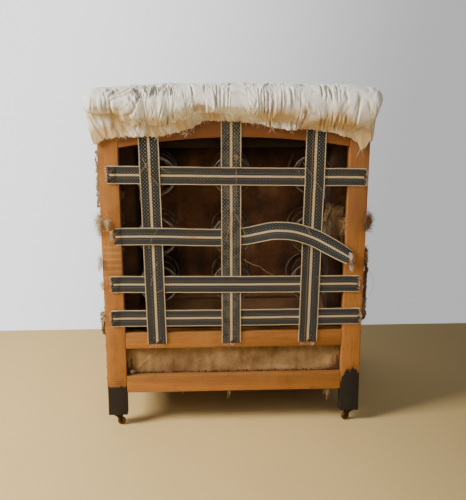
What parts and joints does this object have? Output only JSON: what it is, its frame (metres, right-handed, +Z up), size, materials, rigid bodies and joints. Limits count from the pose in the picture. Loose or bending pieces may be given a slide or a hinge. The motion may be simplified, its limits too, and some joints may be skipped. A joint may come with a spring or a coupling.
{
  "type": "stripped armchair",
  "caption": "Old armchair stripped for re-covering: open webbed and sprung back, calico top roll, sunken seat, stuffed arms and small castors.",
  "frame": {"origin": "on the floor, under the middle of the whole chair", "axes": "+Z up; the sitter faces -Y, and the back is on the +Y side; the sitter's left hand is on the +X side"},
  "size_m": [0.756, 0.774, 0.9207],
  "materials": {
    "beech": "old orange-brown beech, matt, dark stain on the feet",
    "calico": "unbleached calico, gathered, yellowed towards its torn hem",
    "hessian": "tan jute hessian, coarse open weave, frayed",
    "webbing": "dark herringbone upholstery webbing with pale stripes",
    "spring_steel": "dull rusted spring wire",
    "castor_iron": "dark japanned iron",
    "castor_brass": "dull brown brass"
  },
  "bodies": {
    "root": {"back_post_left": "beech", "back_post_right": "beech", "front_post_left": "beech", "front_post_right": "beech", "top_rail": "beech", "back_tacking_rail": "beech", "back_seat_rail": "beech", "front_seat_rail": "beech", "side_seat_rail_left": "beech", "side_seat_rail_right": "beech", "arm_tacking_rail_left": "beech", "arm_tacking_rail_right": "beech", "arm_rail_left": "beech", "arm_rail_right": "beech", "back_web_cross_1": "webbing", "back_web_cross_2_loose": "webbing", "back_web_cross_3": "webbing", "back_web_cross_4": "webbing", "back_web_upright_left": "webbing", "back_web_upright_middle": "webbing", "back_web_upright_right": "webbing", "seat_webbing": "webbing", "back_spring_left_1": "spring_steel", "back_spring_left_2": "spring_steel", "back_spring_left_3": "spring_steel", "back_spring_middle_1": "spring_steel", "back_spring_middle_2": "spring_steel", "back_spring_middle_3": "spring_steel", "back_spring_right_1": "spring_steel", "back_spring_right_2": "spring_steel", "back_spring_right_3": "spring_steel", "seat_spring_left_front": "spring_steel", "seat_spring_left_centre": "spring_steel", "seat_spring_left_rear": "spring_steel", "seat_spring_middle_front": "spring_steel", "seat_spring_middle_centre": "spring_steel", "seat_spring_middle_rear": "spring_steel", "seat_spring_right_front": "spring_steel", "seat_spring_right_centre": "spring_steel", "seat_spring_right_rear": "spring_steel", "back_spring_canvas": "hessian", "seat_back_hessian": "hessian", "seat_pad": "hessian", "arm_pad_left": "hessian", "arm_pad_right": "hessian", "outside_arm_hessian_left": "hessian", "outside_arm_hessian_right": "hessian", "back_upholstery": "calico", "castor_plate_back_left": "castor_iron", "castor_plate_back_right": "castor_iron", "castor_plate_front_left": "castor_iron", "castor_plate_front_right": "castor_iron"},
    "castor_back_left": {"castor_horn_back_left": "castor_iron"},
    "wheel_back_left": {"castor_wheel_back_left": "castor_brass"},
    "castor_back_right": {"castor_horn_back_right": "castor_iron"},
    "wheel_back_right": {"castor_wheel_back_right": "castor_brass"},
    "castor_front_left": {"castor_horn_front_left": "castor_iron"},
    "wheel_front_left": {"castor_wheel_front_left": "castor_brass"},
    "castor_front_right": {"castor_horn_front_right": "castor_iron"},
    "wheel_front_right": {"castor_wheel_front_right": "castor_brass"}
  },
  "joints": [
    {"name": "castor_back_left_swivel", "type": "hinge", "parent": "root", "child": "castor_back_left", "pos_m": [0.3185, 0.28471, 0.027], "axis": [0, 0, 1], "continuous": true},
    {"name": "wheel_back_left_roll", "type": "hinge", "parent": "castor_back_left", "child": "wheel_back_left", "pos_m": [0.31058, 0.28582, 0.011], "axis": [-0.1392, -0.9903, 0], "continuous": true},
    {"name": "castor_back_right_swivel", "type": "hinge", "parent": "root", "child": "castor_back_right", "pos_m": [-0.3185, 0.28471, 0.027], "axis": [0, 0, 1], "continuous": true},
    {"name": "wheel_back_right_roll", "type": "hinge", "parent": "castor_back_right", "child": "wheel_back_right", "pos_m": [-0.31067, 0.28637, 0.011], "axis": [-0.2079, 0.9781, 0], "continuous": true},
    {"name": "castor_front_left_swivel", "type": "hinge", "parent": "root", "child": "castor_front_left", "pos_m": [0.3185, -0.3585, 0.027], "axis": [0, 0, 1], "continuous": true},
    {"name": "wheel_front_left_roll", "type": "hinge", "parent": "castor_front_left", "child": "wheel_front_left", "pos_m": [0.32201, -0.36569, 0.011], "axis": [0.8988, 0.4384, 0], "continuous": true},
    {"name": "castor_front_right_swivel", "type": "hinge", "parent": "root", "child": "castor_front_right", "pos_m": [-0.3185, -0.3585, 0.027], "axis": [0, 0, 1], "continuous": true},
    {"name": "wheel_front_right_roll", "type": "hinge", "parent": "castor_front_right", "child": "wheel_front_right", "pos_m": [-0.32226, -0.36556, 0.011], "axis": [0.8829, -0.4695, 0], "continuous": true}
  ]
}
